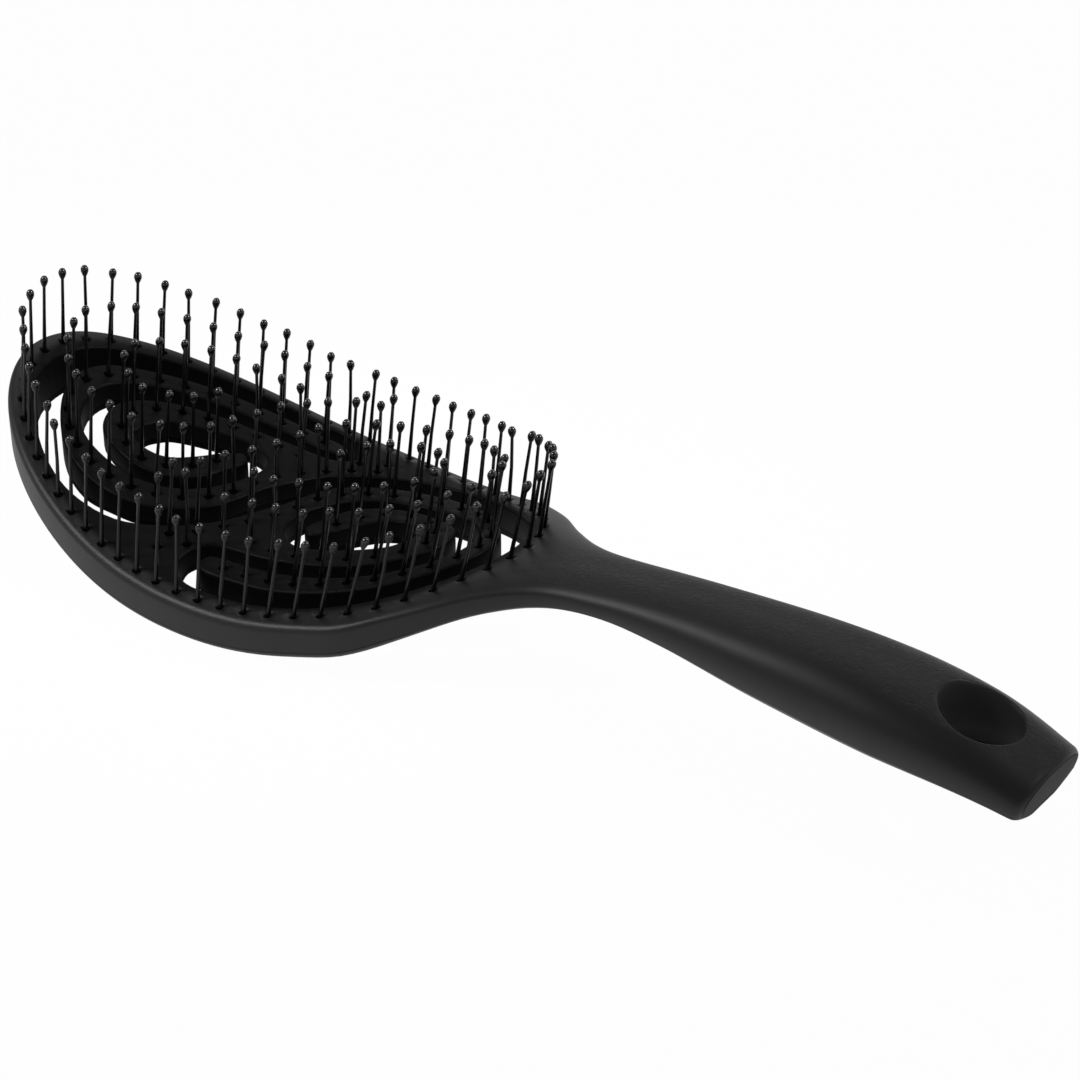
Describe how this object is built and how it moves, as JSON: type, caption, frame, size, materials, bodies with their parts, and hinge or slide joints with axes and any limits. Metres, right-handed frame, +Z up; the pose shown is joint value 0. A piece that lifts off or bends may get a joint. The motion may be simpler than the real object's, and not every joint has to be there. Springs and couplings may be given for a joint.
{
  "type": "vented hair brush",
  "caption": "Vented detangling hair brush with a bowed oval head cut into nested spiral arms, ball-tipped pins and a slim handle with a hanging hole.",
  "frame": {"origin": "centre of the bounding box on the resting plane, below the middle of the length", "axes": "+X from the head's far end to the handle's butt, +Z up along the pins, +Y to the far side of the head"},
  "size_m": [0.244, 0.0766, 0.0458],
  "materials": {
    "shell_plastic": "satin black",
    "pin_nylon": "glossy black"
  },
  "bodies": {
    "root": {"front_shell": "shell_plastic", "back_cover": "shell_plastic", "pin_strip_rim_1": "pin_nylon", "pin_strip_rim_2": "pin_nylon", "pin_strip_rim_3": "pin_nylon", "pin_strip_rim_4": "pin_nylon", "pin_strip_rim_5": "pin_nylon", "pin_strip_rim_6": "pin_nylon", "pin_strip_rim_7": "pin_nylon", "pin_strip_rim_8": "pin_nylon", "pin_strip_tip_outer_arm_1": "pin_nylon", "pin_strip_tip_outer_arm_2": "pin_nylon", "pin_strip_tip_outer_arm_3": "pin_nylon", "pin_strip_tip_inner_arm_1": "pin_nylon", "pin_strip_tip_inner_arm_2": "pin_nylon", "pin_strip_tip_root_1": "pin_nylon", "pin_strip_neck_outer_arm_1": "pin_nylon", "pin_strip_neck_outer_arm_2": "pin_nylon", "pin_strip_neck_outer_arm_3": "pin_nylon", "pin_strip_neck_inner_arm_1": "pin_nylon", "pin_strip_neck_inner_arm_2": "pin_nylon", "pin_strip_neck_root_1": "pin_nylon"}
  },
  "joints": []
}
